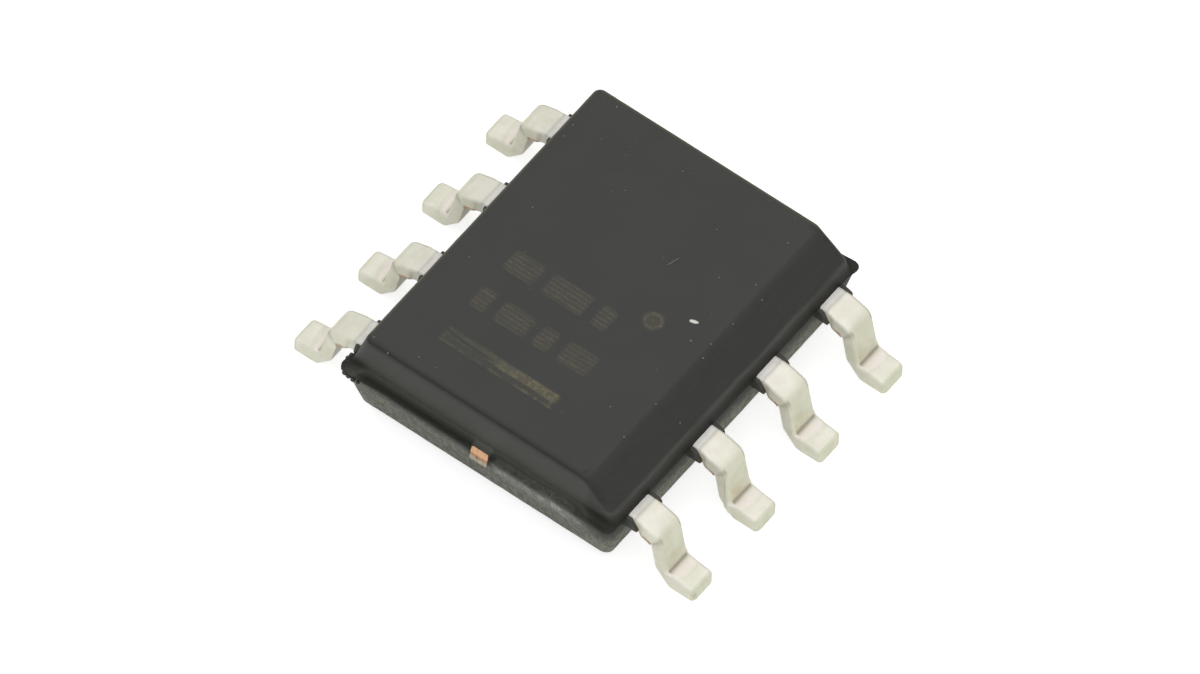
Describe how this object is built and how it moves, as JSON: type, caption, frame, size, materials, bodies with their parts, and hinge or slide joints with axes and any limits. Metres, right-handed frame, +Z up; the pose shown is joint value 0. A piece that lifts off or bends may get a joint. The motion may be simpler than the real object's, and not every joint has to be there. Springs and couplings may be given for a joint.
{
  "type": "small-outline integrated circuit",
  "caption": "Small-outline integrated circuit: black moulded body with a long bevel along one side, tin-plated gull-wing leads, and the lead frame, die and bond wires inside.",
  "frame": {"origin": "middle of the footprint on the seating plane that the feet of the leads rest on", "axes": "+Z up, away from the board; +X along the two rows of leads, from the end with the orientation bar towards the plain end; +Y across the rows, from leads 1-4 on the bevel side towards leads 5-8"},
  "size_m": [0.005, 0.006, 0.0015],
  "materials": {
    "mould_compound": "matt, finely speckled silica-filled epoxy",
    "tin_plate": "matt electroplated tin over copper alloy",
    "frame_copper": "sheared copper alloy strip",
    "silver_epoxy": "cured silver-filled adhesive",
    "silicon": "polished silicon",
    "bond_gold": "bright drawn gold wire"
  },
  "bodies": {
    "root": {"mould_body": "mould_compound", "lead_1": "tin_plate", "lead_2": "tin_plate", "lead_3": "tin_plate", "lead_4": "tin_plate", "lead_5": "tin_plate", "lead_6": "tin_plate", "lead_7": "tin_plate", "lead_8": "tin_plate", "die_pad": "frame_copper", "die_attach": "silver_epoxy", "die": "silicon", "bond_wire_1": "bond_gold", "bond_wire_2": "bond_gold", "bond_wire_3": "bond_gold", "bond_wire_4": "bond_gold", "bond_wire_5": "bond_gold", "bond_wire_6": "bond_gold", "bond_wire_7": "bond_gold", "bond_wire_8": "bond_gold"}
  },
  "joints": []
}
